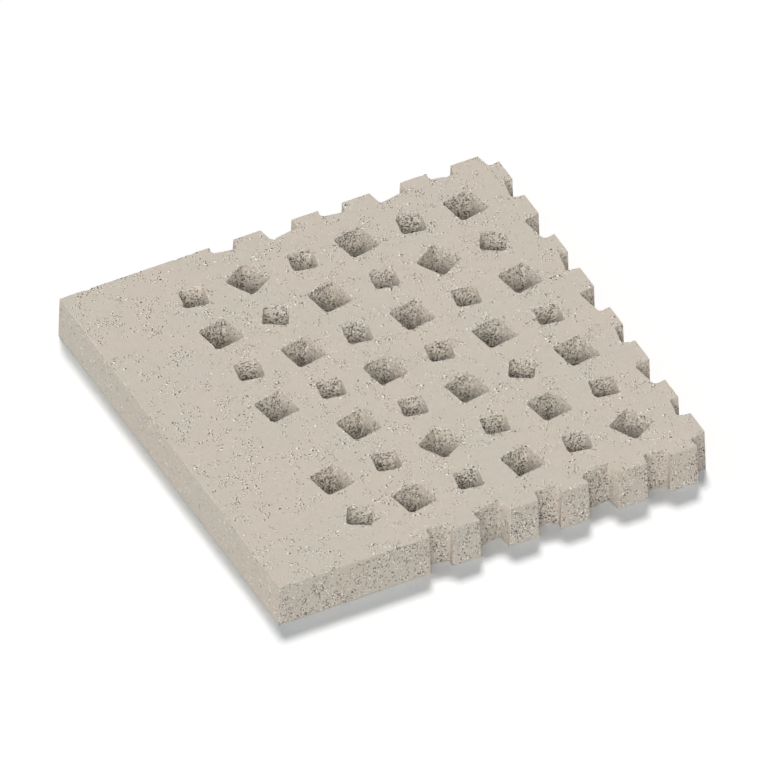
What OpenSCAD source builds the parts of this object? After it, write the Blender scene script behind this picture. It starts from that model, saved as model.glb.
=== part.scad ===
// Open-jointed concrete paving slab for planted paving. Two columns of its grid are left plain
// along one side. The rest carries a field of square through holes in two sizes that alternate,
// each turned about its own centre. The same pattern runs off the other three edges and leaves
// part of a hole there, which the next slab completes.
// The slab lies on its bed: +Z is up, the origin is in the middle of the underside, and the
// plain side points to -X. Cast face down, it gets a little wider towards its foot, and its
// holes a little narrower.

/* [Slab] */
// Centre distance of neighbouring holes, in both directions
grid_pitch = 75; // [66:1:100]
// Number of grid cells along each side of the slab
grid_cells = 8; // [6:2:12]
// Number of grid columns without holes along the plain side
plain_columns = 2; // [1:1:3]
// Height of the slab
slab_height = 60; // [40:1:90]
// Joint between the top edges of two neighbouring slabs
joint_gap = 3; // [2:0.5:6]
// How far each outer face comes out from its top edge to its foot
face_lean = 1.2; // [0.2:0.1:1.4]

/* [Holes] */
// Side of a large hole at the top
large_hole = 41.5; // [32:0.5:50]
// Side of a small hole at the top
small_hole = 32; // [24:0.5:38]
// How far each wall of a hole comes in from the top to the underside
hole_lean = 1.5; // [0.5:0.25:3]
// Corner radius of a hole at the top
hole_corner = 5; // [3.5:0.5:9]
// Turn of most holes, large ones to the left and small ones to the right
usual_turn = 10; // [0:1:15]
// Turn of the few holes that stand out from the rest
strong_turn = 30; // [15:1:45]

/* [Hidden] */

// Cells are [column, row], counted from the middle of the slab
// Cell inside the field that stays solid
closed_cell = [-2, -1];
// Cells whose hole has the strong turn
strong_cells = [
    [-1, 3], [-1, 2], [2, 2], [3, 2],
    [2, -1], [0, -2], [-2, -3], [3, -3]
];
edge_cell = grid_cells / 2;
// First column with holes, and the first one that also runs off the two edges beside it
first_column = plain_columns - edge_cell;
first_edge_column = first_column + 1;
top_side = grid_cells * grid_pitch - joint_gap;
// How far a core runs past the top and the underside, as a share of the slab's height
overrun = 0.05;
$fn = 48;

function is_large(cell) = (cell[0] - cell[1]) % 2 == 0;
function is_strong(cell) = len([for (c = strong_cells) if (c == cell) c]) > 0;
function is_on_side_edge(cell) = abs(cell[1]) == edge_cell;
function has_hole(cell) =
    cell != closed_cell && (!is_on_side_edge(cell) || cell[0] >= first_edge_column);
function hole_side(cell) = is_large(cell) ? large_hole : small_hole;
function hole_turn(cell) =
    (is_large(cell) ? 1 : -1) * (is_strong(cell) ? strong_turn : usual_turn);

// Width at a share of the slab's height, of what is top_width wide at the top and comes in by
// lean on each side down to the underside
function width_at(share, top_width, lean) = top_width - 2 * lean * (1 - share);

// Bar along Y with two leaning sides, which runs past the top and the underside by extra
module leaning_bar(length, top_width, lean, extra = 0) {
    low = width_at(-extra, top_width, lean) / 2;
    high = width_at(1 + extra, top_width, lean) / 2;
    z_low = -extra * slab_height;
    z_high = (1 + extra) * slab_height;
    rotate([90, 0, 0])
        linear_extrude(height = length, center = true)
            polygon([[-low, z_low], [low, z_low], [high, z_high], [-high, z_high]]);
}

// The slab without its holes: what two wide bars have in common
module blank() {
    intersection() {
        leaning_bar(2 * top_side, top_side, -face_lean);
        rotate([0, 0, 90]) leaning_bar(2 * top_side, top_side, -face_lean);
    }
}

// Core that forms one hole: flat leaning walls, and a cone in each corner
module core(side) {
    flat = side - 2 * hole_corner;
    leaning_bar(flat, side, hole_lean, overrun);
    rotate([0, 0, 90]) leaning_bar(flat, side, hole_lean, overrun);
    for (x = [-1, 1], y = [-1, 1])
        translate([x * flat / 2, y * flat / 2, -overrun * slab_height])
            cylinder(
                h = (1 + 2 * overrun) * slab_height,
                d1 = width_at(-overrun, 2 * hole_corner, hole_lean),
                d2 = width_at(1 + overrun, 2 * hole_corner, hole_lean)
            );
}

// Core in its cell of the grid, turned as that cell asks
module core_in(cell) {
    translate([cell[0] * grid_pitch, cell[1] * grid_pitch, 0])
        rotate([0, 0, hole_turn(cell)])
            core(hole_side(cell));
}

module slab() {
    color("#c8beb1")
        difference() {
            blank();
            for (column = [first_column : edge_cell], row = [-edge_cell : edge_cell])
                if (has_hole([column, row]))
                    core_in([column, row]);
        }
}

slab();
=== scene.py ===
import math

import bmesh
import bpy
import numpy as np
from mathutils import Matrix, Vector, kdtree, noise
from mathutils.geometry import delaunay_2d_cdt

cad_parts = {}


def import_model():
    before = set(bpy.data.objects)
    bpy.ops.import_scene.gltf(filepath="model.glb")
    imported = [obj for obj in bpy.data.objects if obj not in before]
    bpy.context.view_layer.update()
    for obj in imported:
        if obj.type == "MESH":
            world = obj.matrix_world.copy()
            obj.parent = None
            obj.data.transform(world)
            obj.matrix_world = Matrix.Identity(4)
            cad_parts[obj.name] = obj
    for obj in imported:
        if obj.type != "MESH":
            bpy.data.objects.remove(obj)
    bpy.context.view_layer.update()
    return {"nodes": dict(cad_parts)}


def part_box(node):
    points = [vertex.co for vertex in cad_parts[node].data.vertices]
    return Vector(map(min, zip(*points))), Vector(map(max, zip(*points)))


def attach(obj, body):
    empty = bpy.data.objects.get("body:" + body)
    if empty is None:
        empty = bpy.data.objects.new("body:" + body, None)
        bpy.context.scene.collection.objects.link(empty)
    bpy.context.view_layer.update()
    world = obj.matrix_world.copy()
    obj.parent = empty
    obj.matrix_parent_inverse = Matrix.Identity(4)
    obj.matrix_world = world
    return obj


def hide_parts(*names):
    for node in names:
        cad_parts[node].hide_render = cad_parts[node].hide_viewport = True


# The looks of the open-jointed paving slab: one fine mesh of cast concrete, which follows the
# CAD slab's outline and holes and adds eased arrises, worn edges and rough walls. All sizes are
# in metres and all angles in degrees, unless a comment says otherwise.

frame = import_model()
LOW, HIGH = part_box("slab")
HEIGHT = HIGH.z - LOW.z

# How far an outer face comes out, and a hole's wall comes in, from the top to the underside
FACE_LEAN = 0.0012
HOLE_LEAN = 0.0015

# Spacing of the mesh along the walls, and the turn of a curved wall that adds one more step
WALL_STEP = 0.0029
STEP_TURN = 20
# Rows of mesh down the walls, and how much closer they are at the top
WALL_ROWS = 12
ROWS_TO_TOP = 1.35
# The last of these rows lies this share of the way down, and one more at the arris below it
LAST_ROW = 0.975
# Spacing of the mesh inside the top face and inside the underside
TOP_STEP = 0.0058
BED_STEP = 0.012
# There each point is moved at random by up to this, and kept this far from the walls, in steps
POINT_SHIFT = 0.18
POINT_CLEAR = 0.55
POINT_SEED = 7

# A vertical corner of the outline that turns by more than this is sharp and gets eased
SHARP_TURN = 30
CORNER_RADIUS = 0.0006
# Where the easing's two inner points lie on its arc
CORNER_SHARES = (1 / 3, 2 / 3)

# Radius of the top arris: its least, how much it varies, and the most in a chip
ARRIS_LEAST = 0.0002
ARRIS_VARIES = 0.0006
ARRIS_MOST = 0.0034
# Size of these variations and of the chips
ARRIS_LUMP = 0.006
CHIP_LUMP = 0.009
# The arris is chipped where the chips' noise is over CHIP_FROM, most where it is CHIP_RISE over
CHIP_FROM = 0.7482
CHIP_RISE = 0.12
# Share of the room beside a sharp corner that the arris may take
ARRIS_SHARE = 0.5
# One more ring of points lies inside the top arris: this share of the room away, or of RIM_ROOM
# where there is more room
RIM_SHARE = 0.3
RIM_ROOM = 0.002
# Radius of the arris round the underside
BED_ARRIS = 0.0004
# How far round the arrises the rings of points lie, in degrees from the flat face
TOP_BEND = (0, 30, 60)
BED_BEND = (60, 0)

# Relief: depth and size of the waves and of the grain. The walls' grain is deeper where they are
# coarse, by up to WALL_GRAIN_COARSE.
WALL_WAVE, WALL_WAVE_SIZE = 0.00030, 0.030
WALL_GRAIN, WALL_GRAIN_COARSE, WALL_GRAIN_SIZE = 0.00010, 0.00050, 0.0055
TOP_WAVE, TOP_WAVE_SIZE = 0.00016, 0.050
TOP_GRAIN, TOP_GRAIN_SIZE = 0.00008, 0.009

# Coarseness of a wall, from 0 to 1: its least, on a wall square to X, and how much more it is on
# one square to Y. For the holes, the notches and the outer faces.
HOLE_COARSE = (0.24, 0.76)
NOTCH_COARSE = (0.08, 0.32)
FACE_COARSE = (0.04, 0.15)
# Share of this at the edge of the top face, and what it gains over the arris and with depth
EDGE_SHARE = 0.25
ARRIS_GAIN = 0.35
DEPTH_SHADE_GAIN = 0.45
# The walls are coarser with depth, down to this one: more and darker pits paint shade deep in the
# holes
DEEP = 0.022

TINY = 1e-6


# ---------------------------------------------------------------- the plan, from the CAD slab

def top_outlines(node):
    """Closed lines of [x, y] points round the CAD slab's top face: its outline and its holes.

    The concrete is on the left of each line, so the outline runs anticlockwise.
    """
    mesh = bmesh.new()
    mesh.from_mesh(node.data)
    bmesh.ops.remove_doubles(mesh, verts=mesh.verts, dist=TINY)
    faces = [f for f in mesh.faces if min(v.co.z for v in f.verts) > HIGH.z - TINY]
    on_top = set(faces)
    after = {}
    for face in faces:
        for corner in face.loops:
            if any(other not in on_top for other in corner.edge.link_faces):
                after[corner.vert] = corner.link_loop_next.vert
    lines = []
    while after:
        start = next(iter(after))
        line = [start]
        vert = after.pop(start)
        while vert is not start:
            line.append(vert)
            vert = after.pop(vert)
        lines.append(np.array([v.co.xy for v in line]))
    mesh.free()
    return lines


def is_outline(line):
    """Whether a line runs anticlockwise, as the outline does and the holes do not."""
    after = np.roll(line, -1, axis=0)
    return (line[:, 0] * after[:, 1] - line[:, 1] * after[:, 0]).sum() > 0


def unit(vector):
    return vector / np.linalg.norm(vector)


class Wall:
    """A closed wall seen in plan: points spread along it, and what the mesh needs at each."""

    def __init__(self, line):
        self.line = line
        self.steps = np.roll(line, -1, axis=0) - line
        self.lengths = np.linalg.norm(self.steps, axis=1)
        along = self.steps / self.lengths[:, None]
        # Outward, away from the concrete
        self.out = np.stack([along[:, 1], -along[:, 0]], axis=1)
        middle = line + self.steps / 2
        side = HIGH.x - FACE_LEAN
        self.lean = np.where(np.abs(middle).max(axis=1) > side - TINY, FACE_LEAN, HOLE_LEAN)
        self.is_outline = is_outline(line)
        before = np.roll(along, 1, axis=0)
        cross = before[:, 0] * along[:, 1] - before[:, 1] * along[:, 0]
        dot = (before * along).sum(axis=1)
        self.turn = np.degrees(np.arctan2(cross, dot))
        self.places, self.normals, self.drifts, self.rooms = [], [], [], []
        self.spread()

    def add(self, place, normal, drift, room):
        """A point, its outward normal, how it moves down to the underside, and the arris' room."""
        self.places.append(place)
        self.normals.append(unit(normal))
        self.drifts.append(drift)
        self.rooms.append(min(room, ARRIS_MOST))

    def spread(self):
        count = len(self.line)
        sharp = [i for i in range(count) if abs(self.turn[i]) > SHARP_TURN]
        if not sharp:
            self.spread_run(0, count, 0, 0)
            return
        for i, start in enumerate(sharp):
            end = sharp[(i + 1) % len(sharp)]
            self.ease_corner(start)
            self.spread_run(start, (end - start) % count or count,
                            self.half_slope(start), self.half_slope(end))

    def half_slope(self, i):
        """Tangent of half the angle of the concrete at a sharp corner."""
        return math.tan(math.radians(180 - abs(self.turn[i])) / 2)

    def corner_shift(self, i, before, after):
        """Where corner i goes when the walls before and after it go out by these amounts."""
        return np.linalg.solve(np.array([self.out[i - 1], self.out[i]]), [before, after])

    def corner_radius(self, i):
        return CORNER_RADIUS * min(1, self.half_slope(i))

    def ease_corner(self, i):
        """The two points inside the small arc that eases sharp corner i."""
        radius = self.corner_radius(i)
        centre = self.line[i] + self.corner_shift(i, -radius, -radius)
        drift = self.corner_shift(i, self.lean[i - 1], self.lean[i])
        for share in CORNER_SHARES:
            normal = unit(self.out[i - 1] * (1 - share) + self.out[i] * share)
            self.add(centre + radius * normal, normal, drift, radius / 2)

    def spread_run(self, first, count, slope_a, slope_b):
        """Points along count steps from point first, with the eased corners at its ends cut off."""
        index = [(first + k) % len(self.line) for k in range(count)]
        length = sum(self.lengths[k] for k in index)
        cut_a = self.corner_radius(first) / slope_a if slope_a else 0
        cut_b = self.corner_radius((first + count) % len(self.line)) / slope_b if slope_b else 0
        # Two entries for each step, at its start and end: places in mesh steps and in metres
        pace, way, places, normals = [], [], [], []
        done, gone = 0.0, 0.0
        for k, i in enumerate(index):
            if k or not slope_a:
                done += abs(self.turn[i]) / STEP_TURN
            for share in (0, 1):
                pace.append(done + share * self.lengths[i] / WALL_STEP)
                way.append(gone + share * self.lengths[i])
                places.append(self.line[i] + share * self.steps[i])
                normals.append(self.out[i])
            done += self.lengths[i] / WALL_STEP
            gone += self.lengths[i]
        start, stop = np.interp([cut_a, length - cut_b], way, pace)
        steps = max(2, round(stop - start))
        wanted = np.linspace(start, stop, steps + 1)
        if slope_a:
            # One more point close to each eased corner keeps the corner's shading narrow
            near = CORNER_RADIUS / WALL_STEP
            wanted = [start, start + near, *wanted[1:-1], stop - near, stop]
        else:
            wanted = wanted[:-1]
        places, normals = np.array(places), np.array(normals)
        for at in wanted:
            place = np.array([np.interp(at, pace, places[:, axis]) for axis in (0, 1)])
            normal = unit(np.array([np.interp(at, pace, normals[:, axis]) for axis in (0, 1)]))
            here = np.interp(at, pace, way)
            i = index[min(int(np.searchsorted(pace, at, side="right")) // 2, count - 1)]
            room = ARRIS_MOST
            if slope_a:
                room = ARRIS_SHARE * min(here * slope_a, (length - here) * slope_b)
            self.add(place, normal, normal * self.lean[i], room)


# ---------------------------------------------------------------- relief of the cast surfaces

# Each octave of this noise is that much finer than the one before, and the sum is stretched to
# reach from 0 to 1
LUMPS_FINER = 2.1
LUMPS_STRETCH = 0.62


def lumps(place, size, octaves=2):
    """Smooth noise from 0 to 1, with lumps of the given size."""
    value = noise.fractal(Vector(place) / size, 1.0, LUMPS_FINER, octaves,
                          noise_basis="PERLIN_ORIGINAL")
    return min(1.0, max(0.0, 0.5 + LUMPS_STRETCH * value))


def arris_radius(place, room):
    """Radius of the worn top arris at a point in plan, chips included."""
    x, y = place
    # The third coordinates only keep the noises apart
    radius = ARRIS_LEAST + ARRIS_VARIES * lumps((x, y, 0.3), ARRIS_LUMP)
    chip = (lumps((x, y, 0.7), CHIP_LUMP, 3) - CHIP_FROM) / CHIP_RISE
    radius += (ARRIS_MOST - radius) * min(1.0, max(0.0, chip)) ** 2
    return min(radius, room)


def coarseness(places, normals, outline):
    """How coarse a wall is, from 0 to 1, at its points in plan.

    It is most in the holes and on the walls square to Y, and least on the faces square to X. The
    material also paints light and shade by it: lighter cement and darker pits where it is high.
    """
    share = normals[:, 1] ** 2
    hole, notch, face = (least + gain * share
                         for least, gain in (HOLE_COARSE, NOTCH_COARSE, FACE_COARSE))
    on_face = np.abs(places).max(axis=1) > HIGH.x - FACE_LEAN - TINY
    return np.where(on_face, face, notch) if outline else hole


def wall_relief(place, coarse):
    """How far a point of a wall lies inside the plain wall."""
    wave = WALL_WAVE * lumps(place, WALL_WAVE_SIZE)
    grain = (WALL_GRAIN + WALL_GRAIN_COARSE * coarse) * lumps(place, WALL_GRAIN_SIZE, 3)
    return wave + grain


def top_relief(x, y):
    """How far a point of the top face lies under the plain top."""
    wave = TOP_WAVE * lumps((x, y, 1.7), TOP_WAVE_SIZE)
    grain = TOP_GRAIN * lumps((x, y, 2.3), TOP_GRAIN_SIZE)
    return wave + grain


# ---------------------------------------------------------------- the mesh of the slab

# The triangulation's mode that leaves out what lies outside the outline
INSIDE = 1


def wall_rings(wall):
    """Rings of points round one wall, from the top face to the underside, and their coarseness."""
    places, normals = np.array(wall.places), np.array(wall.normals)
    drifts, rooms = np.array(wall.drifts), np.array(wall.rooms)
    radii = np.array([arris_radius(p, r) for p, r in zip(places, rooms)])
    bed_radii = np.minimum(BED_ARRIS, rooms)
    coarse = coarseness(places, normals, wall.is_outline)
    # Each ring: how far inside the wall, how deep, and how far round from the flat face
    rings = [(radii + RIM_SHARE * np.minimum(rooms, RIM_ROOM), radii * 0, 0.0)]
    for bend in TOP_BEND:
        turn = math.radians(bend)
        rings.append((radii * (1 - math.sin(turn)), radii * (1 - math.cos(turn)), turn))
    shares = [LAST_ROW * (row / WALL_ROWS) ** ROWS_TO_TOP for row in range(WALL_ROWS + 1)]
    for share in (*shares, 1.0):
        depth = radii * (1 - share) + (HEIGHT - bed_radii) * share
        rings.append((radii * 0, depth, math.pi / 2))
    for bend in BED_BEND:
        turn = math.radians(bend)
        depth = HEIGHT - bed_radii * (1 - math.cos(turn))
        rings.append((bed_radii * (1 - math.sin(turn)), depth, turn))
    points, coarses = [], []
    for inset, depth, turn in rings:
        at = places + drifts * (depth / HEIGHT)[:, None] - normals * inset[:, None]
        ring = np.column_stack([at, HIGH.z - depth])
        if turn:
            held = math.sin(turn)
            relief = np.array([held * wall_relief(p, c) for p, c in zip(ring, coarse)])
            ring[:, :2] -= normals * relief[:, None]
        points.append(ring)
        # Deeper down the walls are coarser: more and darker pits, painted shade deep in the holes
        deeper = np.minimum(depth / DEEP, 1)
        share = EDGE_SHARE + ARRIS_GAIN * math.sin(turn) + DEPTH_SHADE_GAIN * deeper
        coarses.append(coarse * share)
    return points, coarses


def in_holes(places, lines):
    """Which of the places lie in a hole."""
    found = np.zeros(len(places), bool)
    for line in lines:
        if is_outline(line):
            continue
        after = np.roll(line, -1, axis=0)
        reach = np.abs(line - line.mean(axis=0)).max()
        near = np.flatnonzero(np.abs(places - line.mean(axis=0)).max(axis=1) < reach)
        a, b = line - places[near, None], after - places[near, None]
        cross = a[..., 0] * b[..., 1] - a[..., 1] * b[..., 0]
        turned = np.arctan2(cross, (a * b).sum(axis=2)).sum(axis=1)
        found[near] |= np.abs(turned) > math.pi
    return found


def inner_points(step, lines):
    """Points spread over the slab's plan, each more than half a step from every wall's line."""
    near = kdtree.KDTree(sum(len(line) for line in lines))
    for i, place in enumerate(np.concatenate(lines)):
        near.insert((place[0], place[1], 0), i)
    near.balance()
    spread = np.random.default_rng(POINT_SEED)
    row_step = step * math.sqrt(3) / 2
    found = []
    for row, y in enumerate(np.arange(LOW.y, HIGH.y, row_step)):
        for x in np.arange(LOW.x + step / 2 * (row % 2), HIGH.x, step):
            place = np.array([x, y]) + spread.uniform(-POINT_SHIFT, POINT_SHIFT, 2) * step
            if near.find((place[0], place[1], 0))[2] > step * POINT_CLEAR:
                found.append(place)
    found = np.array(found)
    return found[~in_holes(found, lines)]


def flat_face(lines, starts, step):
    """Triangles that fill the slab's plan between the lines, and the points added inside it.

    starts holds the mesh index of each line's first point. Added points are numbered from the
    count of the lines' own points, so the caller can place them.
    """
    edges, index = [], []
    for line, start in zip(lines, starts):
        first = len(index)
        index.extend(range(start, start + len(line)))
        edges.extend((first + i, first + (i + 1) % len(line)) for i in range(len(line)))
    added = inner_points(step, lines)
    plan = np.concatenate([*lines, added])
    _, _, faces, origin, _, _ = delaunay_2d_cdt(
        [Vector(place) for place in plan], edges, [], INSIDE, TINY / 10)
    source = np.array([o[0] for o in origin])
    faces = source[np.array(faces)]
    faces = faces[~in_holes(plan[faces].mean(axis=1), lines)]
    return faces.tolist(), index, added


def drop_loose_points(mesh):
    """Takes out the points that were spread outside the outline, which no face uses."""
    edit = bmesh.new()
    edit.from_mesh(mesh)
    loose = [vert for vert in edit.verts if not vert.link_faces]
    bmesh.ops.delete(edit, geom=loose, context="VERTS")
    edit.to_mesh(mesh)
    edit.free()


class Surface:
    """The points of the slab's surface, their coarseness, and its faces."""

    def __init__(self):
        self.verts, self.coarse, self.faces = [], [], []

    def add_wall(self, wall):
        """Adds a wall; gives its first and last rings in plan, with their first points' index."""
        rings, coarses = wall_rings(wall)
        count = len(wall.places)
        base = len(self.verts)
        for ring, values in zip(rings, coarses):
            self.verts.extend(ring)
            self.coarse.extend(values)
        last = base + (len(rings) - 1) * count
        for upper in range(base, last, count):
            lower = upper + count
            for i in range(count):
                j = (i + 1) % count
                self.faces.append((lower + i, lower + j, upper + j, upper + i))
        return (rings[0][:, :2], base), (rings[-1][:, :2], last)

    def add_flat(self, rims, step, z, up):
        """Fills the flat face between the walls' rings at height z, which faces up or down."""
        lines, starts = zip(*rims)
        triangles, index, added = flat_face(lines, starts, step)
        index.extend(range(len(self.verts), len(self.verts) + len(added)))
        for x, y in added:
            relief = top_relief(x, y)
            self.verts.append((x, y, z - relief if up else z + relief))
            self.coarse.append(0.0)
        for triangle in triangles:
            corners = [index[v] for v in triangle]
            self.faces.append(corners if up else corners[::-1])

    def mesh(self, name):
        mesh = bpy.data.meshes.new(name)
        mesh.from_pydata([tuple(v) for v in self.verts], [], self.faces)
        # The coarseness also carries the walls' painted light and shade into the material
        mesh.attributes.new("coarse", "FLOAT", "POINT").data.foreach_set("value", self.coarse)
        mesh.shade_smooth()
        drop_loose_points(mesh)
        return mesh


def slab_mesh(lines):
    """The slab's whole surface as one closed mesh."""
    surface = Surface()
    top_rims, bed_rims = zip(*[surface.add_wall(Wall(line)) for line in lines])
    surface.add_flat(top_rims, TOP_STEP, HIGH.z, True)
    surface.add_flat(bed_rims, BED_STEP, LOW.z, False)
    return surface.mesh("slab_body")


# ---------------------------------------------------------------- concrete

class Nodes:
    """Short ways to add shader nodes to one material, or to the world."""

    def __init__(self, owner):
        owner.use_nodes = True
        self.tree = owner.node_tree
        self.tree.nodes.clear()

    def add(self, kind, inputs=(), **settings):
        node = self.tree.nodes.new("ShaderNode" + kind)
        for key, value in settings.items():
            setattr(node, key, value)
        for key, value in dict(inputs).items():
            if isinstance(value, bpy.types.NodeSocket):
                self.tree.links.new(value, node.inputs[key])
            else:
                node.inputs[key].default_value = value
        return node

    def math(self, operation, a, b=0.0, c=0.0):
        return self.add("Math", {0: a, 1: b, 2: c}, operation=operation).outputs[0]

    def ramp(self, value, low, high, to_low=0.0, to_high=1.0):
        """value eased from to_low at low to to_high at high."""
        inputs = {"Value": value, "From Min": low, "From Max": high,
                  "To Min": to_low, "To Max": to_high}
        return self.add("MapRange", inputs, interpolation_type="SMOOTHSTEP").outputs[0]

    def tint(self, share, colour, other, blend="MIX"):
        """colour blended with other by share."""
        node = self.add("Mix", data_type="RGBA", blend_type=blend)
        for key, value in ((0, share), (6, colour), (7, other)):
            if isinstance(value, bpy.types.NodeSocket):
                self.tree.links.new(value, node.inputs[key])
            else:
                node.inputs[key].default_value = value
        return node.outputs[2]

    def noise(self, place, size, detail=2.0, rough=0.5):
        """Noise from 0 to 1 with lumps of that many millimetres."""
        inputs = {"Vector": place, "Scale": 1 / size, "Detail": detail, "Roughness": rough}
        return self.add("TexNoise", inputs).outputs["Fac"]

    def vector(self, operation, a, b=(0.0, 0.0, 0.0)):
        """Vector mathematics; with SCALE, b is a number."""
        second = "Scale" if operation == "SCALE" else 1
        return self.add("VectorMath", {0: a, second: b}, operation=operation).outputs

    def between(self, share, least, most):
        """A number from least to most, as share goes from 0 to 1."""
        return self.math("MULTIPLY_ADD", share, most - least, least)

    def show(self, out, surface):
        """Adds the output node of that kind, which shows this surface."""
        self.add(out, {"Surface": surface})

    def spots(self, place, size, radius, cover):
        """A mask of round spots of about that radius, which cover that share of the surface.

        There is at most one for each cell of that size, and each has its own strength; all
        lengths are in millimetres. Also gives the random colour of each cell, the way from its
        spot's middle to the place, and the spot's strength, 0 where the cell has no spot.
        """
        cells = self.add("TexVoronoi", {"Vector": place, "Scale": 1 / size}).outputs
        chance = self.add("SeparateColor", {0: cells["Color"]}).outputs
        full = 4 / 3 * math.pi * (radius / size) ** 3
        shown = self.math("LESS_THAN", chance[0], self.math("DIVIDE", cover, full))
        shown = self.math("MULTIPLY", shown, self.between(chance[2], *SPOT_STRENGTH))
        away = self.vector("SUBTRACT", place, cells["Position"])[0]
        return self.disc(away, chance[1], radius, shown), cells["Color"], away, shown

    def disc(self, away, chance, radius, shown):
        """A spot's strength near its middle and 0 away from it, with a short soft rim."""
        wide = self.between(chance, *SPOT_WIDTH)
        far = self.math("DIVIDE", self.vector("LENGTH", away)["Value"], wide)
        outer, inner = (share * radius for share in SPOT_RIM)
        return self.math("MULTIPLY", self.ramp(far, outer, inner), shown)

    def pairs(self, place, size, radius, cover):
        """Masks of pits and of a slightly larger grain beside each, some way to a level side."""
        pit, colour, away, shown = self.spots(place, size, radius, cover)
        turned = self.vector("SUBTRACT", colour, (0.5, 0.5, 0.5))[0]
        turned = self.vector("NORMALIZE", self.vector("MULTIPLY", turned, LEVEL)[0])[0]
        beside = self.vector("SCALE", turned, -GRAIN_AWAY * radius)[0]
        grain = self.vector("ADD", away, beside)[0]
        return pit, self.disc(grain, 0.5, GRAIN_LARGER * radius, shown)


# Spots: their least and most strength and width, and where their rims end and start, in radii
SPOT_STRENGTH = (0.75, 1.0)
SPOT_WIDTH = (0.75, 1.25)
SPOT_RIM = (1.15, 0.85)
# The grain beside a pit: how far away its middle is, and its own radius, in the pit's radii
GRAIN_AWAY = 2.0
GRAIN_LARGER = 1.25
LEVEL = (1, 1, 0)

CEMENT = (0.587, 0.527, 0.452, 1)
CEMENT_WARM = (0.605, 0.528, 0.450, 1)
CEMENT_COOL = (0.568, 0.528, 0.454, 1)
# Painted shade: the pores and pits are near black, for the shade inside them
PORE_SHADE = (0.045, 0.028, 0.014, 1)
LIGHT_GRAIN = (1.0, 0.925, 0.825, 1)

# All lengths in the material are in millimetres. The cement's colour varies in lumps of these
# sizes: warm and cool patches, which change over this part of their noise, clouds and fine sand
PATCHES = 70
PATCH_EDGE = (0.35, 0.65)
CLOUDS = 9
SAND = 1.6
# How dark and light the clouds and the sand make it
CLOUD_SHADE = (0.92, 1.08)
SAND_SHADE = (0.85, 1.15)
# Painted light: between the dark pits of the coarse walls the cement is lighter, which lights up
# the holes' walls: from and to this coarseness, by these factors
COARSE_PAINTED_LIGHT = (0.3, 1.0, 0.96, 1.30)
# The pits' painted shade is darkest where the walls are coarse, in the same way
COARSE_PIT_SHADE = (0.1, 0.6, 0.8, 1.0)

# Flecked patches, with more spots, and the part of their noise over which they begin
FLECKED = 22
FLECK_EDGE = (0.47, 0.66)
# How many spots there are outside and inside these patches, on the fine faces and on the walls
FINE_MORE = (0.06, 1.46)
WALL_MORE = (0.7, 1.2)
# How many of the fine ones there are on the faces that are not square to X, and that are
SIDE_MORE = (1.0, 0.4)
# How far, and in lumps of what size, the spots are bent out of round
BEND = 1.4
BEND_SCALE = 0.6
# Two uses of the same noise are this far apart
APART = (17.0, 5.0, 9.0)
# How the cells of the coarse walls' spots are turned, in radians
ASKEW = (0.62, 0.47, 0.91)
# Spots: the size of their cells, their radius, and the most of the surface that they cover
PAIRS = (2.8, 0.66, 0.026)
MORE_PAIRS = ((2.8, 0.66, 0.026), (3.6, 0.90, 0.017), (6.5, 1.15, 0.006))
WALL_PITS = (2.1, 0.96, 0.35)
WALL_GRAINS = (1.9, 0.96, 0.62)
# How far each part stands out
CEMENT_RISE = 0.08
GRAIN_RISE = 0.10
PORE_RISE = -0.30
WALL_GRAIN_RISE = 0.80
WALL_PIT_RISE = -0.80


def shades(n, place, coarse):
    """The cement's colour, with the clouds and the fine sand in it, and painted light that makes it
    lighter on the coarse walls.
    """
    patches = n.noise(place, PATCHES, 2)
    clouds = n.noise(place, CLOUDS, 5, 0.65)
    sand = n.noise(place, SAND, 2, 0.8)
    colour = n.tint(n.ramp(patches, *PATCH_EDGE), CEMENT_WARM, CEMENT_COOL)
    colour = n.tint(0.5, colour, CEMENT)
    shade = n.between(clouds, *CLOUD_SHADE)
    shade = n.math("MULTIPLY", shade, n.between(sand, *SAND_SHADE))
    # Painted light: the cement is lighter on the coarse walls
    shade = n.math("MULTIPLY", shade, n.ramp(coarse, *COARSE_PAINTED_LIGHT))
    grey = n.add("CombineColor", {0: shade, 1: shade, 2: shade}).outputs[0]
    return n.tint(1.0, colour, grey, "MULTIPLY"), clouds, sand


def bent(n, place):
    """The place moved about by noise, which makes round spots uneven."""
    inputs = {"Vector": place, "Scale": BEND_SCALE, "Detail": 4.0, "Roughness": 0.75}
    moved = n.add("TexNoise", inputs).outputs["Color"]
    return n.vector("ADD", place, n.vector("SCALE", moved, BEND)[0])[0]


def fine_spots(n, place, flecked, across):
    """Masks of the small pores and of the light sand grains, fewest on faces square to X."""
    more = n.math("MULTIPLY", n.between(flecked, *FINE_MORE), n.between(across, *SIDE_MORE))

    def some(where, size, radius, cover):
        return n.pairs(where, size, radius, n.math("MULTIPLY", more, cover))

    dark, light = some(place, *PAIRS)
    elsewhere = n.vector("ADD", place, APART)[0]
    for kind in MORE_PAIRS:
        pore, grain = some(elsewhere, *kind)
        dark = n.math("MAXIMUM", dark, pore)
        light = n.math("MAXIMUM", light, grain)
    return dark, light


def wall_spots(n, place, flecked, coarse):
    """Masks of the coarse walls' broken-out pits and of the proud light grains between them.

    The cells lie askew to every wall, so that no wall runs along a row of them.
    """
    share = n.math("MULTIPLY", coarse, n.between(flecked, *WALL_MORE))
    askew = n.add("VectorRotate", {"Vector": place, "Rotation": ASKEW},
                  rotation_type="EULER_XYZ").outputs[0]
    askew_too = n.vector("ADD", askew, APART)[0]
    return [n.spots(where, size, radius, n.math("MULTIPLY", share, cover))[0]
            for where, (size, radius, cover) in ((askew, WALL_PITS), (askew_too, WALL_GRAINS))]


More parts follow.
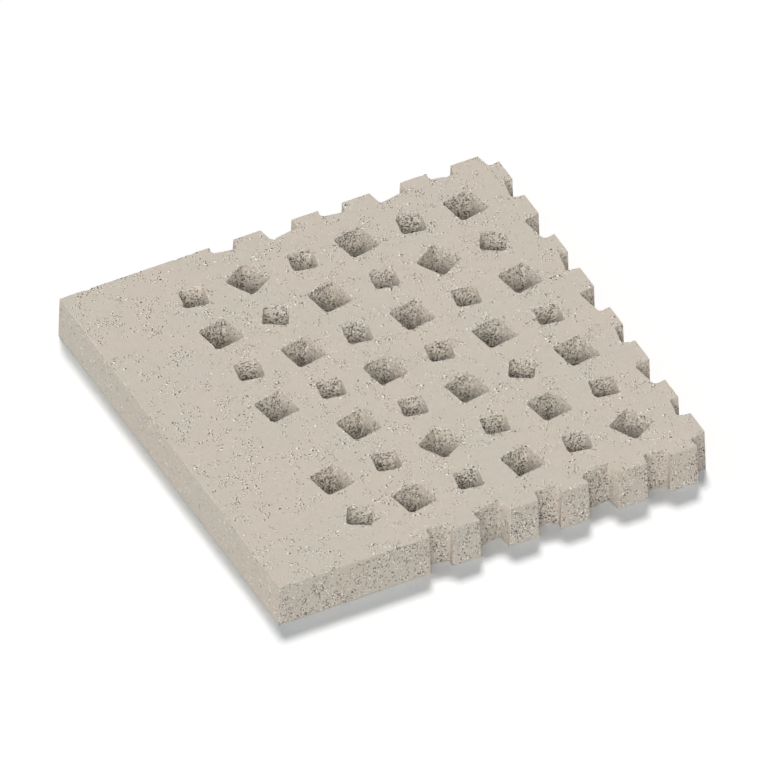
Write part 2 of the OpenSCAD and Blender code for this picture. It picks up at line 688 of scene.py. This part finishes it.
def concrete():
    """Pale beige cast concrete: fine on the top, open and grainy on the coarse walls, with painted
    shade in its pores and pits and painted light on the coarse walls.
    """
    material = bpy.data.materials.new("concrete")
    n = Nodes(material)
    found = n.add("TexCoord").outputs
    place = n.vector("SCALE", found["Object"], 1000.0)[0]
    normal = n.add("SeparateXYZ", {0: found["Normal"]}).outputs
    across = n.math("ABSOLUTE", normal[0])
    coarse = n.add("Attribute", attribute_name="coarse").outputs["Fac"]
    flecked = n.ramp(n.noise(place, FLECKED, 3, 0.65), *FLECK_EDGE)
    rugged = bent(n, place)
    dark, light = fine_spots(n, rugged, flecked, across)
    pit, knob = wall_spots(n, rugged, flecked, coarse)

    # Painted light: shades makes the cement lighter on the coarse walls
    colour, clouds, sand = shades(n, place, coarse)
    colour = n.tint(light, colour, LIGHT_GRAIN)
    # Painted shade in the pores and in the pits, darkest on the coarse walls
    colour = n.tint(dark, colour, PORE_SHADE)
    colour = n.tint(knob, colour, LIGHT_GRAIN)
    colour = n.tint(n.math("MULTIPLY", pit, n.ramp(coarse, *COARSE_PIT_SHADE)), colour, PORE_SHADE)

    height = n.math("MULTIPLY", n.math("ADD", clouds, sand), CEMENT_RISE)
    for part, rise in ((light, GRAIN_RISE), (dark, PORE_RISE),
                       (knob, WALL_GRAIN_RISE), (pit, WALL_PIT_RISE)):
        height = n.math("MULTIPLY_ADD", part, rise, height)
    # This distance turns the millimetres into metres
    bump = n.add("Bump", {"Height": height, "Distance": 0.001, "Strength": 1.0}).outputs[0]
    shader = n.add("BsdfPrincipled", {
        "Base Color": colour, "Roughness": 0.92, "Normal": bump, "Specular IOR Level": 0.25})
    n.show("OutputMaterial", shader.outputs[0])
    return material


def build_slab():
    body = bpy.data.objects.new("slab_body", slab_mesh(top_outlines(frame["nodes"]["slab"])))
    bpy.context.scene.collection.objects.link(body)
    body.data.materials.append(concrete())
    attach(body, "root")
    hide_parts("slab")
    return body


# ---------------------------------------------------------------- floor, light and camera

FLOOR_SIDE = 8.0
# How far the floor lies under the slab
FLOOR_GAP = 0.00005
# The floor's colour, which is white under its lamp and the world's light, and the even light
# that it throws at the slab instead, all but the part right under the slab
FLOOR_SEEN = (1.239, 1.303, 1.359)
FLOOR_GLOW = 0.37
WHITE = (1, 1, 1)
# Lamps: turn clockwise from the far side (+Y), height above the floor, strength, size, colour.
# These light the slab alone, so that it has one shadow on the floor.
SLAB_LAMPS = {
    "front": (-153, 40, 2.06, 40, WHITE),
    "left": (-93, 40, 1.32, 60, WHITE),
    "back": (48, 12, 0.5, 30, WHITE),
}
# This lights the floor alone, and casts the slab's shadow on it, towards the viewer
FLOOR_LAMPS = {
    "above": (21, 60.2, 1.88, 14, (1, 0.923, 0.860)),
}
# The world's light from all sides
AMBIENT = (0.303, 0.303, 0.303)

# The camera looks along this line, at a point just under the middle of the top face
VIEW_AZIMUTH, VIEW_ELEVATION = -26.98, 42.03
VIEW_WIDTH = 0.9447
VIEW_LEFT, VIEW_DOWN = 0.0020, 0.0176
VIEW_DISTANCE = 3.0


def lit_or_seen(n, lit, seen):
    """Mixes two shaders: seen for camera, glossy and transmission rays, lit for all others."""
    path = n.add("LightPath").outputs
    share = n.math("MAXIMUM", path["Is Camera Ray"], path["Is Glossy Ray"])
    share = n.math("MAXIMUM", share, path["Is Transmission Ray"])
    return n.add("MixShader", {0: share, 1: lit, 2: seen}).outputs[0]


def floor():
    mesh = bpy.data.meshes.new("floor")
    half = FLOOR_SIDE / 2
    z = LOW.z - FLOOR_GAP
    mesh.from_pydata([(-half, -half, z), (half, -half, z), (half, half, z), (-half, half, z)],
                     [], [(0, 1, 2, 3)])
    material = bpy.data.materials.new("floor_white")
    n = Nodes(material)
    place = n.add("TexCoord").outputs["Object"]
    x, y, _ = n.add("SeparateXYZ", {0: n.vector("ABSOLUTE", place)[0]}).outputs
    outside = n.math("GREATER_THAN", n.math("MAXIMUM", x, y), HIGH.x)
    glow = n.math("MULTIPLY", outside, FLOOR_GLOW)
    lit = n.add("Emission", {"Color": (*WHITE, 1), "Strength": glow}).outputs[0]
    seen = n.add("BsdfDiffuse", {"Color": (*FLOOR_SEEN, 1)}).outputs[0]
    n.show("OutputMaterial", lit_or_seen(n, lit, seen))
    mesh.materials.append(material)
    plane = bpy.data.objects.new("floor", mesh)
    bpy.context.scene.collection.objects.link(plane)
    return plane


def world():
    made = bpy.data.worlds.new("studio")
    n = Nodes(made)
    lit, seen = (n.add("Background", {"Color": (*colour, 1), "Strength": 1.0}).outputs[0]
                 for colour in (AMBIENT, WHITE))
    n.show("OutputWorld", lit_or_seen(n, lit, seen))
    bpy.context.scene.world = made


def towards(turn, height):
    """Direction to a lamp: turn clockwise from the far side (+Y), height above the floor."""
    turn, height = math.radians(turn), math.radians(height)
    return Vector((math.sin(turn) * math.cos(height), math.cos(turn) * math.cos(height),
                   math.sin(height)))


def lamp(name, only, turn, height, strength, size, colour):
    """A far lamp of that angular size, which lights only the objects of one collection."""
    data = bpy.data.lights.new(name, "SUN")
    data.energy = strength
    data.color = colour
    data.angle = math.radians(size)
    made = bpy.data.objects.new(name, data)
    made.rotation_mode = "QUATERNION"
    made.rotation_quaternion = towards(turn, height).to_track_quat("Z", "Y")
    made.light_linking.receiver_collection = only
    bpy.context.scene.collection.objects.link(made)


def light(thing, lamps):
    """Adds lamps that light that object alone."""
    alone = bpy.data.collections.new("lit_" + thing.name)
    alone.objects.link(thing)
    for name, settings in lamps.items():
        lamp(name, alone, *settings)


def camera():
    data = bpy.data.cameras.new("camera")
    data.type = "ORTHO"
    data.ortho_scale = VIEW_WIDTH
    data.clip_end = 4 * VIEW_DISTANCE
    made = bpy.data.objects.new("camera", data)
    turn = Matrix.Rotation(math.radians(VIEW_AZIMUTH), 3, "Z")
    tilt = Matrix.Rotation(math.radians(90 - VIEW_ELEVATION), 3, "X")
    axes = turn @ tilt
    target = Vector((0, 0, HIGH.z)) + axes @ Vector((-VIEW_LEFT, -VIEW_DOWN, 0))
    made.location = target + axes @ Vector((0, 0, VIEW_DISTANCE))
    made.rotation_euler = axes.to_euler()
    bpy.context.scene.collection.objects.link(made)
    bpy.context.scene.camera = made


world()
light(build_slab(), SLAB_LAMPS)
light(floor(), FLOOR_LAMPS)
camera()
bpy.context.scene.view_settings.view_transform = "Standard"
